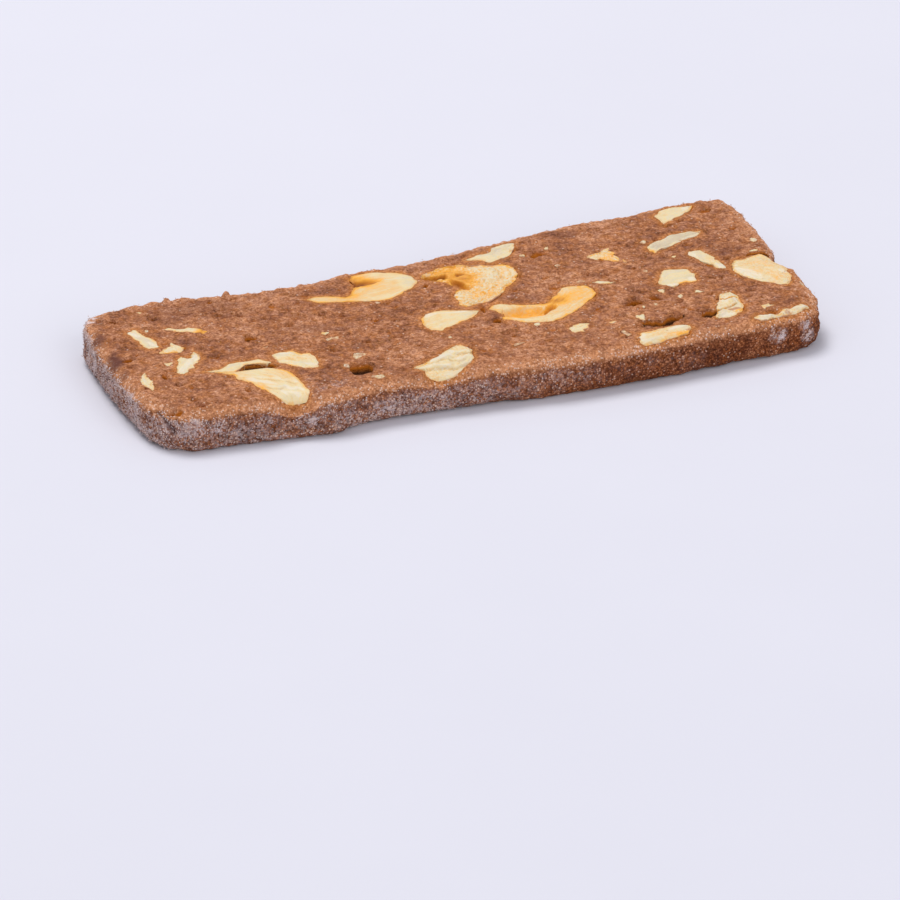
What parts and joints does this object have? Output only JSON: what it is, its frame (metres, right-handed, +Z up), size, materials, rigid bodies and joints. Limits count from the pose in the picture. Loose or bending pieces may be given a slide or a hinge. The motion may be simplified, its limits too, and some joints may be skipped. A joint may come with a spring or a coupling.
{
  "type": "cocoa nut biscuit",
  "caption": "Thin oblong slice of baked cocoa biscuit dough with cut nut pieces set flush in both broad faces and a rough floured edge; lies flat, ready to eat or serve.",
  "frame": {"origin": "on the flat underside, in the middle of the biscuit's length and width", "axes": "+X along the biscuit towards its wider end, +Y across it towards its drawn-in long edge, +Z up out of the top face"},
  "size_m": [0.1002, 0.0424, 0.0062],
  "materials": {
    "dough": "dry baked cocoa dough with fine crumb and traces of flour",
    "nut": "cut roasted nut, pale cream with golden hollows"
  },
  "bodies": {
    "root": {"dough": "dough", "nut_01": "nut", "nut_02": "nut", "nut_03": "nut", "nut_04": "nut", "nut_05": "nut", "nut_06": "nut", "nut_07": "nut", "nut_08": "nut", "nut_09": "nut", "nut_10": "nut", "nut_11": "nut", "nut_12": "nut", "nut_13": "nut", "nut_14": "nut", "nut_15": "nut", "nut_16": "nut", "nut_17": "nut", "nut_18": "nut", "nut_19": "nut", "nut_20": "nut", "nut_21": "nut", "nut_22": "nut", "nut_23": "nut", "nut_24": "nut", "nut_25": "nut", "nut_26": "nut", "nut_27": "nut"}
  },
  "joints": []
}
